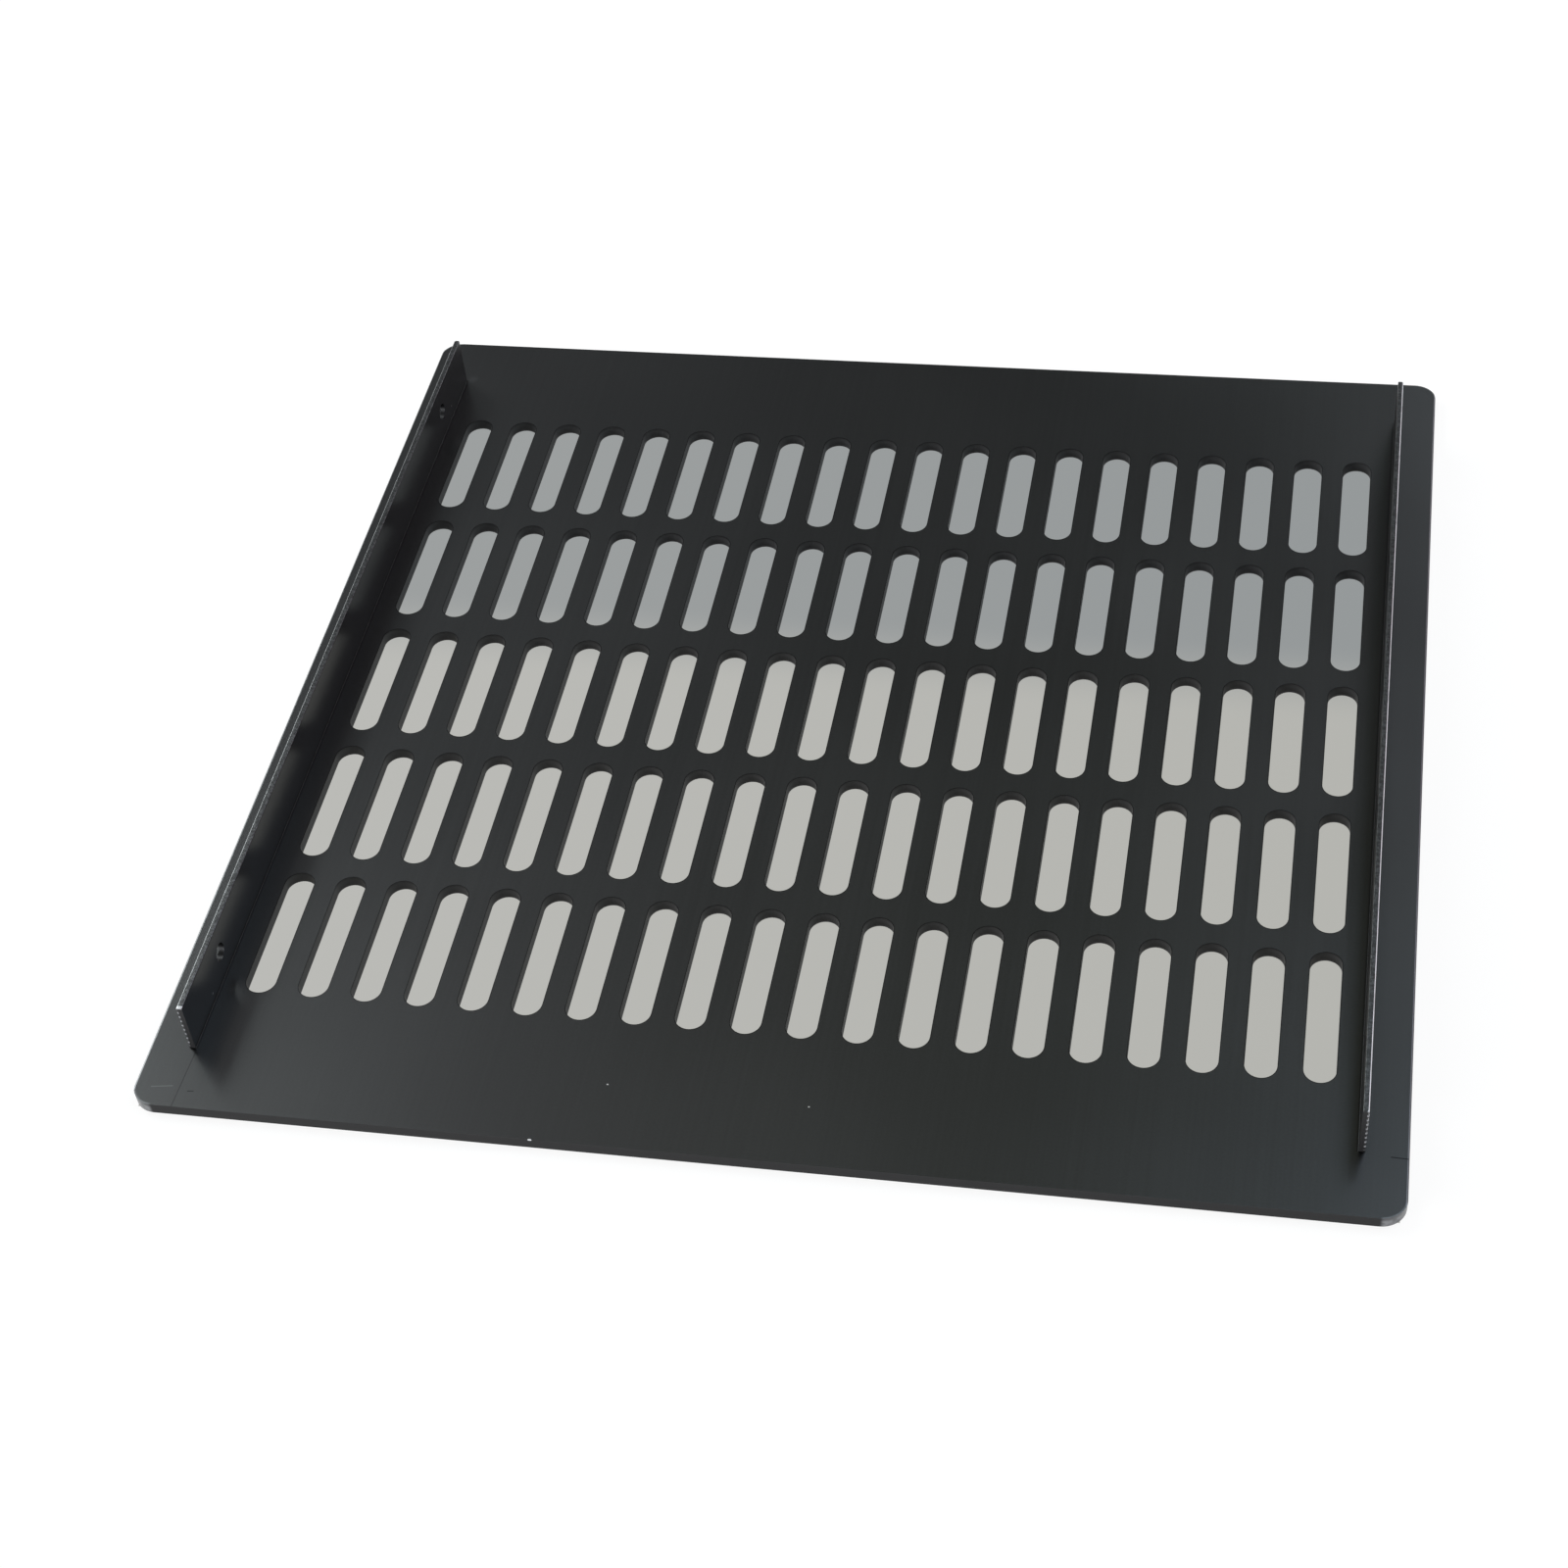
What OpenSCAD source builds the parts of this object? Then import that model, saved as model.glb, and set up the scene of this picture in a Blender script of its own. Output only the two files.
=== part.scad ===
// Slotted ventilation panel with two serrated clamping ribs.
// One length of aluminium extrusion: a flat panel with a thin rib standing near each long edge.
// The ribs are milled back at both ends, drilled for screws, and the panel is slotted for air.
// Millimetres. The show face lies on Z = 0, X runs across the ribs and Y along them.

/* [Panel] */
// Width of the panel, across the ribs
panel_w = 200; // [150:5:300]
// Length of the panel, along the ribs
panel_l = 200; // [120:5:300]
// Thickness of the panel
panel_t = 2; // [1.5:0.1:4]
// Radius of the four milled corners, seen from above
corner_r = 4; // [1:0.5:8]
// Radius of the long extruded edges
edge_r = 0.3; // [0.1:0.05:0.7]

/* [Slots] */
// Width of one slot, and so of its round ends
slot_w = 5.1; // [3:0.1:10]
// Length of one slot over its round ends
slot_l = 26.8; // [12:0.2:60]
// Web between two slots side by side
side_web = 3.95; // [2:0.05:10]
// Web between two slots end to end
end_web = 4.2; // [2:0.1:12]
// Least plain width between a rib and the first slot
rib_land = 3; // [1:0.5:10]
// Least plain length between the panel's end and the first slot
end_land = 22; // [12:1:40]

/* [Ribs] */
// Height of a rib above the panel
rib_h = 9.8; // [6:0.2:20]
// Thickness of a rib over the tips of its teeth
rib_t = 1; // [1:0.1:3]
// Panel's long edge to the tips of the teeth
rib_inset = 6.6; // [3:0.2:20]
// Length milled off each end of a rib
rib_setback = 12; // [4:0.5:25]
// Pitch of the fine teeth that run along a rib's outer face
tooth_pitch = 1.05; // [0.8:0.05:1.5]
// Depth of the teeth
tooth_depth = 0.25; // [0.1:0.05:0.4]
// Radius of the fillet where a rib's smooth face meets the panel
root_r = 0.1; // [0.1:0.1:1]
// Radius on the two long edges of a rib's top
top_r = 0.2; // [0.1:0.05:0.3]

/* [Screw holes] */
// Bore of the screw holes through the ribs
screw_d = 3.2; // [2:0.1:4.5]
// End of the rib to the middle of its first screw hole
screw_setback = 16.5; // [6:0.5:30]

/* [Hidden] */
eps = 0.1; // overcut that keeps cutters clear of the faces they open
facets = 32; // segments on every full circle

tip_x = panel_w / 2 - rib_inset; // plane of the tooth tips
smooth_x = tip_x - rib_t; // plane of a rib's smooth inner face
tooth_count = floor(rib_h / tooth_pitch + eps);
rib_half_l = panel_l / 2 - rib_setback;

side_pitch = slot_w + side_web;
end_pitch = slot_l + end_web;
slot_columns = floor((2 * (smooth_x - rib_land) + side_web) / side_pitch);
slot_rows = floor((panel_l - 2 * end_land + end_web) / end_pitch);

// Corner of side r with a quarter circle taken out: rounds a corner off or fills one in
module spandrel(r, over = 0) {
    difference() {
        translate([-over, -over])
            square(r + over);
        translate([r, r])
            circle(r, $fn = facets);
    }
}

// Section of the flat panel, with its long edges rounded
module panel_section() {
    difference() {
        translate([-panel_w / 2, 0])
            square([panel_w, panel_t]);
        for (side = [0, 1], face = [0, 1])
            mirror([side, 0])
                translate([-panel_w / 2, face * panel_t])
                    mirror([0, face])
                        spandrel(edge_r, eps);
    }
}

// Section of the rib on the +X side: smooth inside, toothed outside
module rib_section() {
    teeth = [for (k = [0 : tooth_count - 1], at_tip = [1, 0])
        [tip_x - (at_tip ? 0 : tooth_depth), rib_h - (k + (at_tip ? 0 : 0.5)) * tooth_pitch]];
    difference() {
        translate([0, panel_t])
            polygon(concat(
                [[smooth_x, -eps], [smooth_x, rib_h]],
                teeth,
                [[tip_x, rib_h - tooth_count * tooth_pitch], [tip_x, -eps]]));
        translate([smooth_x, panel_t + rib_h])
            mirror([0, 1])
                spandrel(top_r, eps);
        translate([tip_x, panel_t + rib_h])
            rotate(180)
                spandrel(top_r, eps);
    }
    translate([smooth_x, panel_t])
        mirror([1, 0])
            spandrel(root_r);
}

// Panel seen from above, with its milled corners
module panel_outline() {
    difference() {
        square([panel_w + 2 * eps, panel_l + 2 * eps], center = true);
        for (side = [0, 1], far = [0, 1])
            mirror([side, 0])
                mirror([0, far])
                    translate([-panel_w / 2, -panel_l / 2])
                        spandrel(corner_r, 2 * eps);
    }
}

// One slot with full-radius ends, running along Y
module slot() {
    straight = slot_l - slot_w;
    square([slot_w, straight], center = true);
    for (far = [-1, 1])
        translate([0, far * straight / 2])
            circle(d = slot_w, $fn = facets);
}

// Whole field of slots, centred on the panel
module slot_field() {
    for (column = [0 : slot_columns - 1], row = [0 : slot_rows - 1])
        translate([
            (column - (slot_columns - 1) / 2) * side_pitch,
            (row - (slot_rows - 1) / 2) * end_pitch])
            slot();
}

// A section drawn in X and Z, stood up and run along Y for the given length
module run_along_y(length) {
    translate([0, length / 2, 0])
        rotate([90, 0, 0])
            linear_extrude(length)
                children();
}

module vent_panel() {
    color([0.2, 0.2, 0.21])
        difference() {
            union() {
                intersection() {
                    run_along_y(panel_l)
                        panel_section();
                    translate([0, 0, -eps])
                        linear_extrude(panel_t + 2 * eps)
                            panel_outline();
                }
                for (side = [0, 1])
                    mirror([side, 0, 0])
                        run_along_y(2 * rib_half_l)
                            rib_section();
            }
            translate([0, 0, -eps])
                linear_extrude(panel_t + 2 * eps)
                    slot_field();
            for (side = [0, 1], far = [-1, 1])
                mirror([side, 0, 0])
                    translate([smooth_x - eps, far * (rib_half_l - screw_setback), panel_t + rib_h / 2])
                        rotate([0, 90, 0])
                            cylinder(d = screw_d, h = rib_t + 2 * eps, $fn = facets);
        }
}

vent_panel();
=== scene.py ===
# A slotted ventilation panel in satin black anodised aluminium, lying on its show face with its
# two serrated clamping ribs up. Metres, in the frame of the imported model.
from math import cos, pi, radians, sin, tan

import bpy
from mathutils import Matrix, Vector

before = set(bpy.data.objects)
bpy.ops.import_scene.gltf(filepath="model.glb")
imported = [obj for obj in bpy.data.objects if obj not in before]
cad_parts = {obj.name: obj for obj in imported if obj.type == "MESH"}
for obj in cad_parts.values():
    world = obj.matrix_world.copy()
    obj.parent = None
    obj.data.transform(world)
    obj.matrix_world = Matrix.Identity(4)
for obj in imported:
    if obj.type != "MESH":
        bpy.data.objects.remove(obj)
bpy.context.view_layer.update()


# --- The panel ---------------------------------------------------------------------------------
# One length of aluminium extrusion, milled to length, drilled and slotted, then etched and dyed
# black in the anodising bath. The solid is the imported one; this section gives it its finish.

MM = 0.001
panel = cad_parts["vent_panel"]

# Sizes in millimetres, as the panel was drawn. The field's are half sizes, just outside its slots.
SLOT_W, SLOT_L = 5.1, 26.8
SIDE_PITCH, END_PITCH = 9.05, 31.0
FIELD_X, FIELD_Y = 90.0, 77.0
PLATE_T = 2.0
RIB_TIP_X, RIB_SMOOTH_X = 93.4, 92.4
RIB_TOP_Z, RIB_END_Y = 11.8, 88.0
TOOTH_PITCH = 1.05
CORNER_R, HALF_SIDE = 4.0, 100.0

ANODISED_BLACK = "#3E3F40"
ANODISED_GREY = "#424344"
MILLED_AND_SHADE_BLACK = "#2E2E2F"
SHADE_AND_SCRATCH_BLACK = "#1B1B1C"
PAINTED_LIGHT_GREY = "#4C4E50"
BARE_METAL_AND_HIGHLIGHT = "#E2E4E8"
RIB_TOP_AND_HIGHLIGHT_GREY = "#8C8E92"

DYED_ROUGHNESS = 0.28, 0.32
MILLED_ROUGHNESS = 0.3  # on top of the dyed metal's
ETCH_DEPTH = 0.1 * MM
ETCH_STRENGTH = 0.05


def linear(hex_colour):
    channels = [int(hex_colour[i:i + 2], 16) / 255 for i in (1, 3, 5)]
    return [c / 12.92 if c <= 0.04045 else ((c + 0.055) / 1.055) ** 2.4 for c in channels] + [1.0]


def add(tree, kind, settings=None, inputs=None):
    """Adds one node, sets its options, and sets or links its sockets.
    A node links by its first output."""
    made = tree.nodes.new(kind)
    for name, value in (settings or {}).items():
        setattr(made, name, value)
    for name, value in (inputs or {}).items():
        if isinstance(value, bpy.types.Node):
            value = value.outputs[0]
        if isinstance(value, bpy.types.NodeSocket):
            tree.links.new(value, made.inputs[name])
        else:
            made.inputs[name].default_value = value
    return made


def blank_material(name):
    material = bpy.data.materials.new(name)
    material.use_nodes = True
    material.node_tree.nodes.clear()
    return material


def black_anodised_aluminium():
    """Extruded aluminium, etched satin and dyed black: a dark metal with a broad, soft sheen.
    Its milled cuts are duller. Painted highlights brighten its rib edges, tooth tips and rounded
    corners, painted shade darkens its slot rims, rib roots and panel ends, and painted light greys a
    flange and a rib face."""
    material = blank_material("black_anodised_aluminium_satin")
    tree = material.node_tree

    # Masks are 1 where a finish lies and 0 elsewhere. Places and lengths are in millimetres.
    def both(first, *others):
        """Where all of the masks hold."""
        for other in others:
            first = add(tree, "ShaderNodeMath", {"operation": "MULTIPLY"}, {0: first, 1: other})
        return first

    def either(first, *others):
        """Where any of the masks holds."""
        for other in others:
            first = add(tree, "ShaderNodeMath", {"operation": "MAXIMUM"}, {0: first, 1: other})
        return first

    def total(first, *others):
        for other in others:
            first = add(tree, "ShaderNodeMath", {"operation": "ADD"}, {0: first, 1: other})
        return first

    def ramp(value, start, end, low_out=0.0, high_out=1.0):
        return add(tree, "ShaderNodeMapRange", {"interpolation_type": "SMOOTHSTEP"}, {
            "Value": value, "From Min": start, "From Max": end, "To Min": low_out, "To Max": high_out})

    def below(value, limit, soft=0.03):
        return ramp(value, limit - soft, limit + soft, 1.0, 0.0)

    def above(value, limit, soft=0.03):
        return ramp(value, limit - soft, limit + soft)

    def from_nearest(value, pitch):
        """How far a place is from the nearest of a row of lines, the first of them at zero."""
        return add(tree, "ShaderNodeMath", {"operation": "PINGPONG"}, {0: value, 1: pitch / 2})

    def from_round(across, along):
        """How far a place is from the middle of a round end or corner."""
        squares = total(both(across, across), both(along, along))
        return add(tree, "ShaderNodeMath", {"operation": "SQRT"}, {0: squares})

    def grain(stretch, detail=2.0):
        """An uneven pattern with so many lumps to the millimetre along each axis."""
        stretched = add(tree, "ShaderNodeVectorMath", {"operation": "MULTIPLY"}, {0: place, 1: stretch})
        return add(tree, "ShaderNodeTexNoise", inputs={
            "Vector": stretched, "Scale": 1.0, "Detail": detail})

    def tint(colour, share, over):
        return add(tree, "ShaderNodeMix", {"data_type": "RGBA"}, {
            "Factor": share, "A": colour, "B": linear(over)}).outputs["Result"]

    def stroke(start, end, half_width, soft=0.08):
        """1 along a straight mark between two points."""
        run = Vector(end) - Vector(start)
        way = run.normalized()
        off = add(tree, "ShaderNodeVectorMath", {"operation": "SUBTRACT"}, {0: place, 1: start})
        along = add(tree, "ShaderNodeVectorMath", {"operation": "DOT_PRODUCT"}, {0: off, 1: way})
        held = add(tree, "ShaderNodeClamp", inputs={"Value": along.outputs["Value"], "Max": run.length})
        foot = add(tree, "ShaderNodeVectorMath", {"operation": "SCALE"}, {0: way, "Scale": held})
        gap = add(tree, "ShaderNodeVectorMath", {"operation": "DISTANCE"}, {0: off, 1: foot})
        return ramp(gap.outputs["Value"], half_width, half_width + soft, 1.0, 0.0)

    object_place = add(tree, "ShaderNodeTexCoord").outputs["Object"]
    place = add(tree, "ShaderNodeVectorMath", {"operation": "SCALE"}, {
        0: object_place, "Scale": 1 / MM})
    axes = add(tree, "ShaderNodeSeparateXYZ", inputs={0: place})
    x, y, z = axes.outputs
    side = add(tree, "ShaderNodeMath", {"operation": "ABSOLUTE"}, {0: x})
    end = add(tree, "ShaderNodeMath", {"operation": "ABSOLUTE"}, {0: y})

    # The etch leaves a fine even grain, about 0.4 mm so that it shows, over faint lines that the
    # extrusion die drew along Y and a slow drift in how deep the dye took.
    etch = grain((2.5, 2.5, 2.5))
    die_lines = grain((1.6, 0.012, 1.6), 3.0)
    drift = grain((0.02, 0.02, 0.02), 1.0)
    finish = total(both(etch, 0.3), total(both(die_lines, 0.25), both(drift, 0.45)))
    colour = tint(linear(ANODISED_BLACK), ramp(finish, 0.3, 0.7), ANODISED_GREY)

    # Painted light: the flange outside the right rib, and the left rib's inner face towards the front,
    # are tinted a lighter grey where light falls.
    painted_light_right_flange = both(above(x, RIB_TIP_X + 0.3, 0.5), ramp(y, -95, -20, 0.05, 0.8))
    painted_light_left_rib_face = both(
        below(x, 0.1 - RIB_SMOOTH_X, 0.05), above(x, -0.1 - RIB_SMOOTH_X, 0.05),
        ramp(y, 20, -88), above(z, PLATE_T + 0.3, 0.3))
    colour = tint(colour, either(painted_light_right_flange, painted_light_left_rib_face), PAINTED_LIGHT_GREY)

    # Milled cuts: the slot walls and the ends of the ribs are duller. Painted shade: the ends of the
    # panel stay metal but are darkened.
    in_field = both(below(side, FIELD_X), below(end, FIELD_Y))
    slot_wall = both(below(z, PLATE_T - 0.04), above(z, 0.04), in_field)
    rib_end = both(above(end, RIB_END_Y - 0.04, 0.02), above(z, PLATE_T + 0.06))
    milled = either(slot_wall, rib_end)
    painted_shade_panel_end = both(above(end, HALF_SIDE - 0.06), below(z, PLATE_T - 0.04))
    colour = tint(colour, milled, MILLED_AND_SHADE_BLACK)
    colour = tint(colour, both(painted_shade_panel_end, 0.8), MILLED_AND_SHADE_BLACK)

    # Painted shade: a dark fine line round each slot's rim, at the top and the bottom of its wall
    across_slot = from_nearest(total(x, SIDE_PITCH / 2), SIDE_PITCH)
    along_slot = either(total(from_nearest(y, END_PITCH), (SLOT_W - SLOT_L) / 2), 0.0)
    rim_gap = total(from_round(across_slot, along_slot), -SLOT_W / 2)
    rim_height = either(above(z, PLATE_T - 0.4, 0.15), below(z, 0.3, 0.1))
    painted_shade_slot_rim = both(below(rim_gap, 0.12, 0.05), rim_height, in_field)
    colour = tint(colour, both(painted_shade_slot_rim, 0.85), SHADE_AND_SCRATCH_BLACK)

    # Painted shade: the narrow corner at a rib's root is darkened.
    root = both(
        above(side, RIB_SMOOTH_X - 0.35, 0.1), below(side, RIB_SMOOTH_X + 0.1),
        above(z, PLATE_T - 0.1), below(z, PLATE_T + 0.3, 0.1), below(end, RIB_END_Y))
    colour = tint(colour, both(root, 0.5), SHADE_AND_SCRATCH_BLACK)

    # The ribs' tops are lightened in patches. Painted highlights: bright lines along the ribs' outer
    # top edges, brighter on the right rib, on the tips of the teeth at the cut ends, on the front of
    # the left rib's top, and on the panel's rounded corners and outer edges
    highlight_breakup = grain((0.8, 0.25, 0.8), 3.0)
    rib_top = both(above(z, RIB_TOP_Z - 0.15), above(side, RIB_SMOOTH_X - 0.1))
    top_edge = both(above(z, RIB_TOP_Z - 0.25), above(side, RIB_TIP_X - 0.16))
    edge_highlight = both(top_edge, ramp(x, -1, 1, 0.2, 1.0), ramp(highlight_breakup, 0.25, 0.5, 0.6, 1.0))
    from_tooth = from_nearest(total(z, -RIB_TOP_Z), TOOTH_PITCH)
    tooth_tip = both(
        above(end, RIB_END_Y - 0.3), above(side, RIB_TIP_X - 0.3), below(from_tooth, 0.2, 0.05),
        above(z, PLATE_T + 0.5))
    rib_cap = both(rib_top, below(y, 0.6 - RIB_END_Y, 0.1), below(x, 0))
    past_side = either(total(side, CORNER_R - HALF_SIDE), 0.0)
    past_end = either(total(end, CORNER_R - HALF_SIDE), 0.0)
    outline = both(
        above(from_round(past_side, past_end), CORNER_R - 0.25, 0.1),
        above(side, HALF_SIDE - CORNER_R + 0.3, 0.3))
    front_corner = both(
        outline, below(y, 1.5 - HALF_SIDE, 1.0), below(z, 1.4, 0.3), ramp(highlight_breakup, 0.3, 0.6))
    painted_highlights = either(edge_highlight, both(either(tooth_tip, rib_cap), 0.5), both(front_corner, 0.2))
    colour = tint(colour, both(rib_top, ramp(etch, 0.4, 0.65, 0.0, 0.2)), RIB_TOP_AND_HIGHLIGHT_GREY)
    colour = tint(colour, both(outline, 0.3), RIB_TOP_AND_HIGHLIGHT_GREY)
    colour = tint(colour, painted_highlights, BARE_METAL_AND_HIGHLIGHT)

    # Marks of handling: short scratches, and specks of dust and swarf
    dark_marks = either(
        stroke((97.3, -88.5, PLATE_T), (100.0, -88.6, PLATE_T), 0.05),
        both(stroke((-92.2, -89.0, PLATE_T), (-92.6, -99.9, PLATE_T), 0.05), 0.5),
        both(stroke((-90.9, -96.7, PLATE_T), (-90.0, -96.6, PLATE_T), 0.05), 0.8))
    light_marks = either(
        both(stroke((-97.1, -96.4, PLATE_T), (-93.7, -95.9, PLATE_T), 0.05), 0.045),
        both(stroke((-91.3, 88.5, PLATE_T), (-91.2, 88.6, PLATE_T), 0.2, 1.2), 0.025),
        stroke((92.3, -86.5, PLATE_T + 0.3), (92.3, -86.2, PLATE_T + 0.5), 0.2),
        both(stroke((-92.4, -77.8, 3.7), (-92.4, -77.7, 3.7), 0.12), 0.5),
        both(stroke((-92.4, 76.8, 4.2), (-92.4, 76.9, 4.2), 0.12), 0.5),
        stroke((-33.9, -100.0, 1.9), (-33.6, -100.0, 1.9), 0.12),
        stroke((-24.0, -87.9, PLATE_T), (-23.9, -87.9, PLATE_T), 0.06),
        stroke((8.4, -88.8, PLATE_T), (8.5, -88.8, PLATE_T), 0.06))
    colour = tint(colour, dark_marks, SHADE_AND_SCRATCH_BLACK)
    colour = tint(colour, light_marks, BARE_METAL_AND_HIGHLIGHT)

    metal = add(tree, "ShaderNodeMath", {"operation": "SUBTRACT"}, {0: 1.0, 1: milled})
    roughness = total(ramp(finish, 0.3, 0.7, *DYED_ROUGHNESS), both(milled, MILLED_ROUGHNESS))
    relief = add(tree, "ShaderNodeBump", inputs={
        "Height": etch, "Strength": ETCH_STRENGTH, "Distance": ETCH_DEPTH})
    surface = add(tree, "ShaderNodeBsdfPrincipled", inputs={
        "Base Color": colour, "Metallic": metal, "Roughness": roughness, "Normal": relief})
    add(tree, "ShaderNodeOutputMaterial", inputs={"Surface": surface})
    return material


panel.material_slots[0].material = black_anodised_aluminium()


# --- The table ---------------------------------------------------------------------------------
# A plain white sheet that the panel lies on, seen through the slots and all round it. It lies a
# hair below the show face, so that the two never share a plane.

SHEET_SIZE = 6.0
SHEET_DROP = 0.05 * MM

bpy.ops.object.select_all(action="DESELECT")
bpy.ops.mesh.primitive_plane_add(size=SHEET_SIZE, location=(0, 0, -SHEET_DROP))
table = bpy.context.object
table.name = "table"

SHEET = "#E0E0E0"
SHADE_NEAR_LEFT, SHADE_NEAR_RIGHT = "#BBBBB7", "#B5B5B0"
SHADE_FAR_LEFT, SHADE_FAR_RIGHT = "#9DA0A0", "#95999A"
SHADE_HALF_WIDTH = 90 * MM
SHADE_TURNS_FROM, SHADE_TURNS_TO = 6 * MM, 27 * MM
COVERED_HALF_SIDE = 99 * MM
SEEN_GLOW = (0.9, 0.9, 0.9, 1)
SEEN_SHADOW = (0.12, 0.12, 0.12, 1)
TOUCHING = 0.4 * MM


def white_sheet():
    """Matt white paper, white all round and grey where the panel keeps the light off. It is clear
    from below, and to rays that start on the panel's underside, so that the show face can be
    looked at from underneath."""
    material = blank_material("white_paper")
    tree = material.node_tree
    place = add(tree, "ShaderNodeTexCoord").outputs["Object"]
    across, along, _ = add(tree, "ShaderNodeSeparateXYZ", inputs={0: place}).outputs

    paper = add(tree, "ShaderNodeBsdfDiffuse", inputs={"Color": linear(SHEET)})

    def inside(distance, half):
        size = add(tree, "ShaderNodeMath", {"operation": "ABSOLUTE"}, {0: distance})
        return add(tree, "ShaderNodeMath", {"operation": "LESS_THAN"}, {0: size, 1: half})

    def between(share, first, second):
        return add(tree, "ShaderNodeMix", {"data_type": "RGBA"}, {
            "Factor": share, "A": first, "B": second}).outputs["Result"]

    # What the camera sees: the shade under the panel turns cooler and darker towards the back.
    covered = add(tree, "ShaderNodeMath", {"operation": "MULTIPLY"}, {
        0: inside(across, COVERED_HALF_SIDE), 1: inside(along, COVERED_HALF_SIDE)})
    depth = add(tree, "ShaderNodeMapRange", {"interpolation_type": "SMOOTHSTEP"}, {
        "Value": along, "From Min": SHADE_TURNS_FROM, "From Max": SHADE_TURNS_TO})
    width = add(tree, "ShaderNodeMapRange", inputs={
        "Value": across, "From Min": -SHADE_HALF_WIDTH, "From Max": SHADE_HALF_WIDTH})
    near_shade = between(width, linear(SHADE_NEAR_LEFT), linear(SHADE_NEAR_RIGHT))
    far_shade = between(width, linear(SHADE_FAR_LEFT), linear(SHADE_FAR_RIGHT))
    seen_colour = between(covered, SEEN_GLOW, between(depth, near_shade, far_shade))
    seen_glow = add(tree, "ShaderNodeEmission", inputs={"Color": seen_colour})
    seen_paper = add(tree, "ShaderNodeBsdfDiffuse", inputs={"Color": SEEN_SHADOW})
    no_shadow = add(tree, "ShaderNodeEmission", inputs={"Strength": 0.0})
    shadow_part = add(tree, "ShaderNodeMixShader", inputs={0: covered, 1: seen_paper, 2: no_shadow})
    seen = add(tree, "ShaderNodeAddShader", inputs={0: seen_glow, 1: shadow_part})

    ray = add(tree, "ShaderNodeLightPath").outputs
    glass_or_metal = add(tree, "ShaderNodeMath", {"operation": "MAXIMUM"}, {
        0: ray["Is Glossy Ray"], 1: ray["Is Transmission Ray"]})
    direct = add(tree, "ShaderNodeMath", {"operation": "MAXIMUM"}, {
        0: ray["Is Camera Ray"], 1: glass_or_metal})
    front = add(tree, "ShaderNodeMixShader", inputs={0: direct, 1: paper, 2: seen})
    back = add(tree, "ShaderNodeNewGeometry").outputs["Backfacing"]
    close = add(tree, "ShaderNodeMath", {"operation": "LESS_THAN"}, {
        0: ray["Ray Length"], 1: TOUCHING})
    open_below = add(tree, "ShaderNodeMath", {"operation": "MAXIMUM"}, {0: back, 1: close})
    clear = add(tree, "ShaderNodeBsdfTransparent")
    sheet = add(tree, "ShaderNodeMixShader", inputs={0: open_below, 1: front, 2: clear})
    add(tree, "ShaderNodeOutputMaterial", inputs={"Surface": sheet})
    return material


table.data.materials.append(white_sheet())


# --- Light -------------------------------------------------------------------------------------
# Round softboxes about the table: a strong one at the left, low ones round it, weak ones high up,
# and a surround that is pale at the horizon and dim overhead.

SURROUND = "#FFFFFF"
HORIZON_STRENGTH, OVERHEAD_STRENGTH = 0.9, 0.2
HORIZON_RISE = 0.3  # upward part of the direction at which the surround is dim
LIGHT_DISTANCE = 1.6

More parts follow.
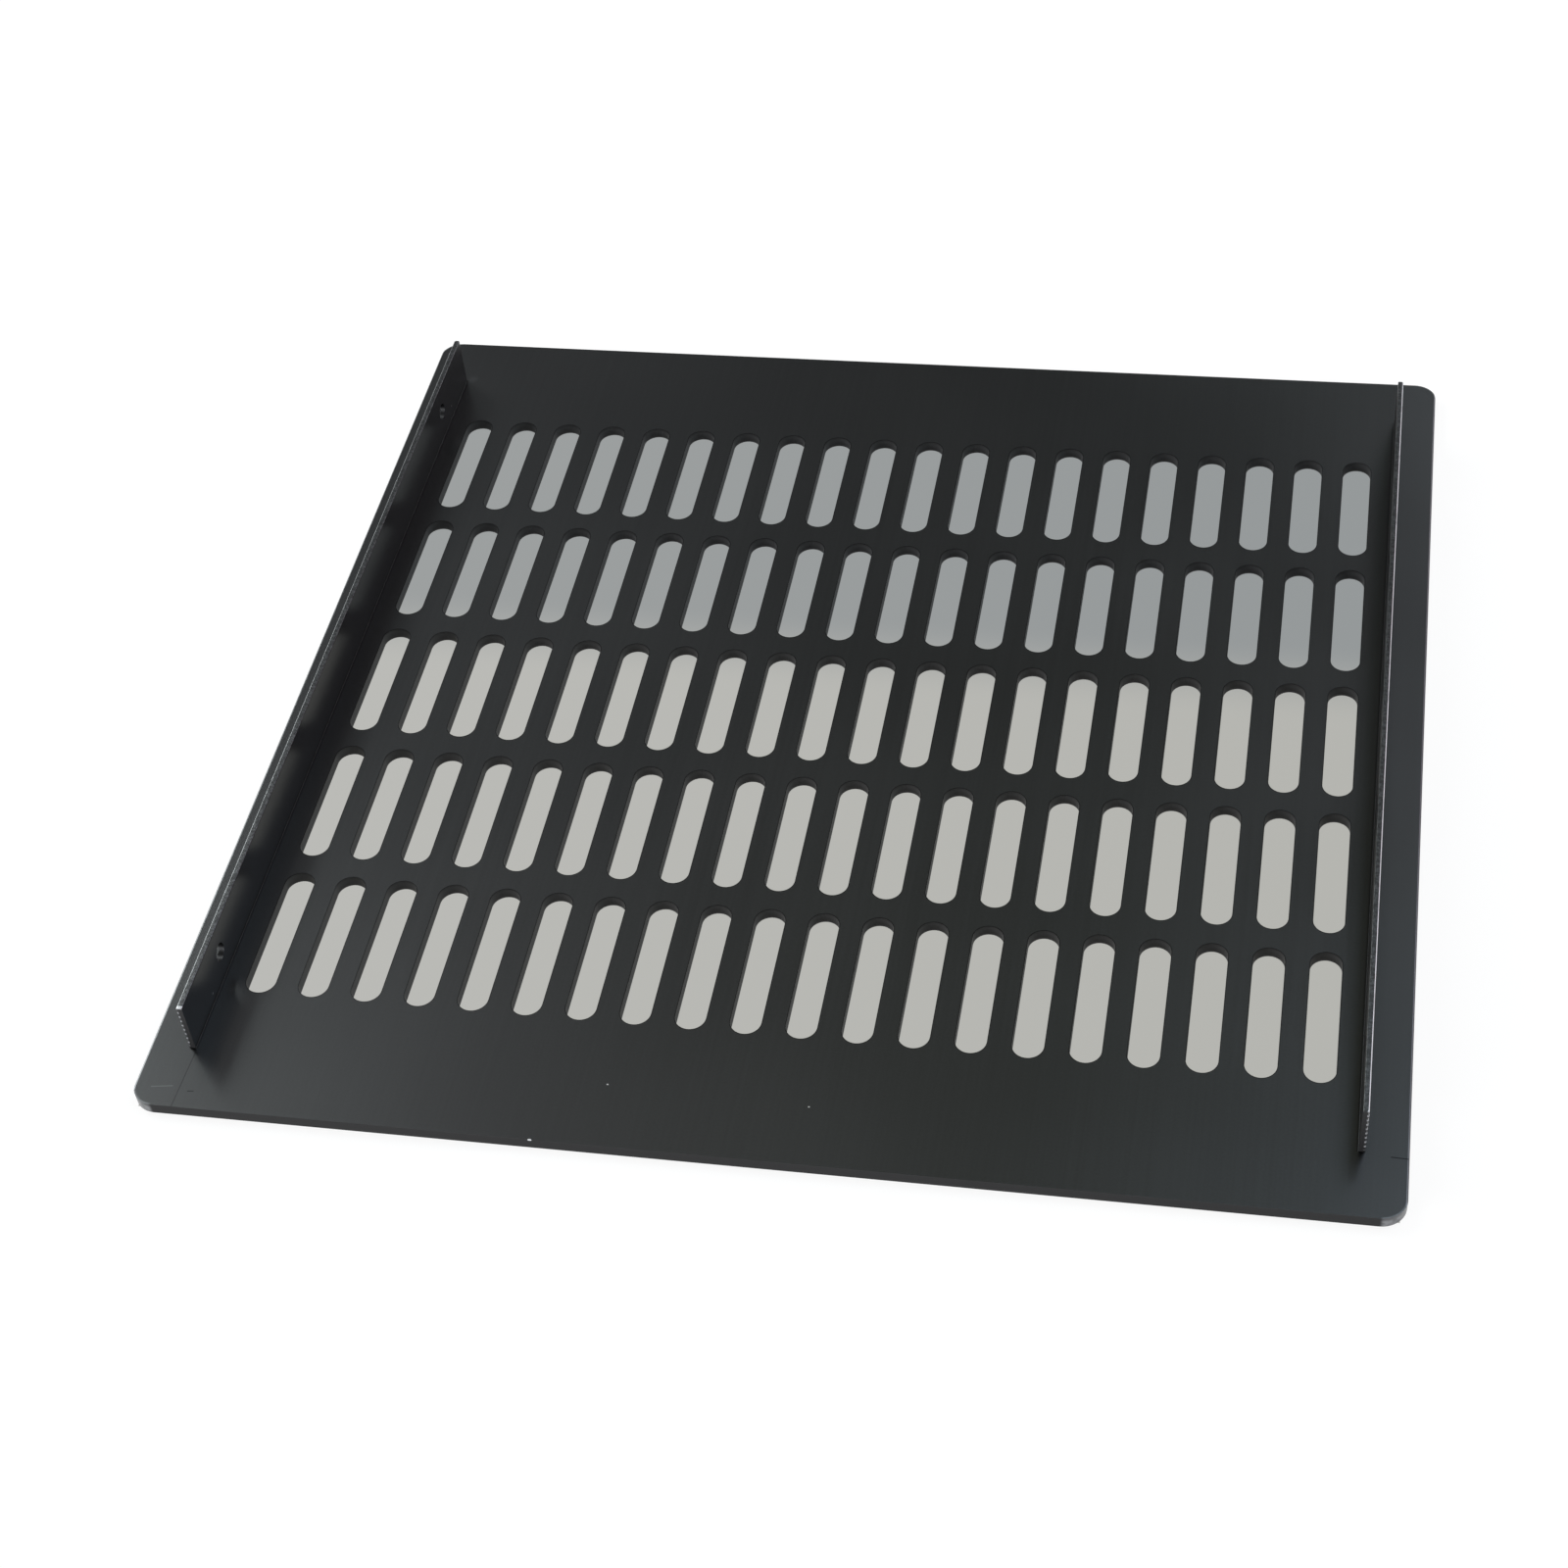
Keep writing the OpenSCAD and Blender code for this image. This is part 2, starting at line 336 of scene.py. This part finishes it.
world = bpy.data.worlds.new("surround")
bpy.context.scene.world = world
world.use_nodes = True
sky = world.node_tree
facing = add(sky, "ShaderNodeSeparateXYZ", inputs={
    0: add(sky, "ShaderNodeTexCoord").outputs["Generated"]})
rise = add(sky, "ShaderNodeMapRange", {"interpolation_type": "SMOOTHSTEP"}, {
    "Value": facing.outputs["Z"], "From Min": 0.0, "From Max": HORIZON_RISE,
    "To Min": HORIZON_STRENGTH, "To Max": OVERHEAD_STRENGTH})
sky.links.new(rise.outputs["Result"], sky.nodes["Background"].inputs["Strength"])
sky.nodes["Background"].inputs["Color"].default_value = linear(SURROUND)


def softbox(name, bearing, height, spread, glow):
    """A round light: bearing from +Y towards +X, height and spread in degrees, glow in red,
    green, blue."""
    flat = cos(radians(height))
    aim = Vector((sin(radians(bearing)) * flat, cos(radians(bearing)) * flat, sin(radians(height))))
    strongest = max(glow)
    lamp = bpy.data.lights.new(name, "AREA")
    lamp.shape = "DISK"
    lamp.size = 2 * LIGHT_DISTANCE * tan(radians(spread / 2))
    lamp.energy = strongest * pi * pi * (lamp.size / 2) ** 2
    lamp.color = [channel / strongest for channel in glow]
    holder = bpy.data.objects.new(name, lamp)
    holder.location = aim * LIGHT_DISTANCE
    holder.rotation_euler = aim.to_track_quat("Z", "Y").to_euler()
    bpy.context.scene.collection.objects.link(holder)


softbox("left_window", -60, 35, 28, (8.6, 9.1, 8.9))
softbox("low_left_front", -135, 12, 26, (8.9, 8.8, 9.1))
softbox("low_back", 15, 12, 26, (3.3, 3.9, 4.0))
softbox("low_right", 105, 12, 26, (4.2, 4.8, 4.8))
softbox("high_right", 45, 60, 30, (3.0, 3.6, 4.2))
softbox("high_left", -45, 60, 30, (0.67, 0.66, 0.67))
softbox("back_left", -30, 35, 28, (0.2, 0.21, 0.22))
softbox("back_right", 30, 35, 28, (1.0, 0.72, 0.8))
softbox("right_wall", 60, 35, 28, (0.9, 0.75, 0.65))
softbox("high_back", 0, 60, 30, (0.13, 0.14, 0.05))


# --- Camera ------------------------------------------------------------------------------------
# It stands in front of the panel and a little to the right, half a metre off, and looks down at
# it and slightly to the left.

lens = bpy.data.cameras.new("camera")
lens.lens = 64.41
lens.shift_x = -0.0159
lens.shift_y = 0.0634
camera = bpy.data.objects.new("camera", lens)
camera.location = (79.17 * MM, -351.40 * MM, 343.89 * MM)
camera.rotation_euler = (radians(42.857), radians(4.240), radians(9.723))
bpy.context.scene.collection.objects.link(camera)
bpy.context.scene.camera = camera
bpy.context.scene.view_settings.view_transform = "Standard"
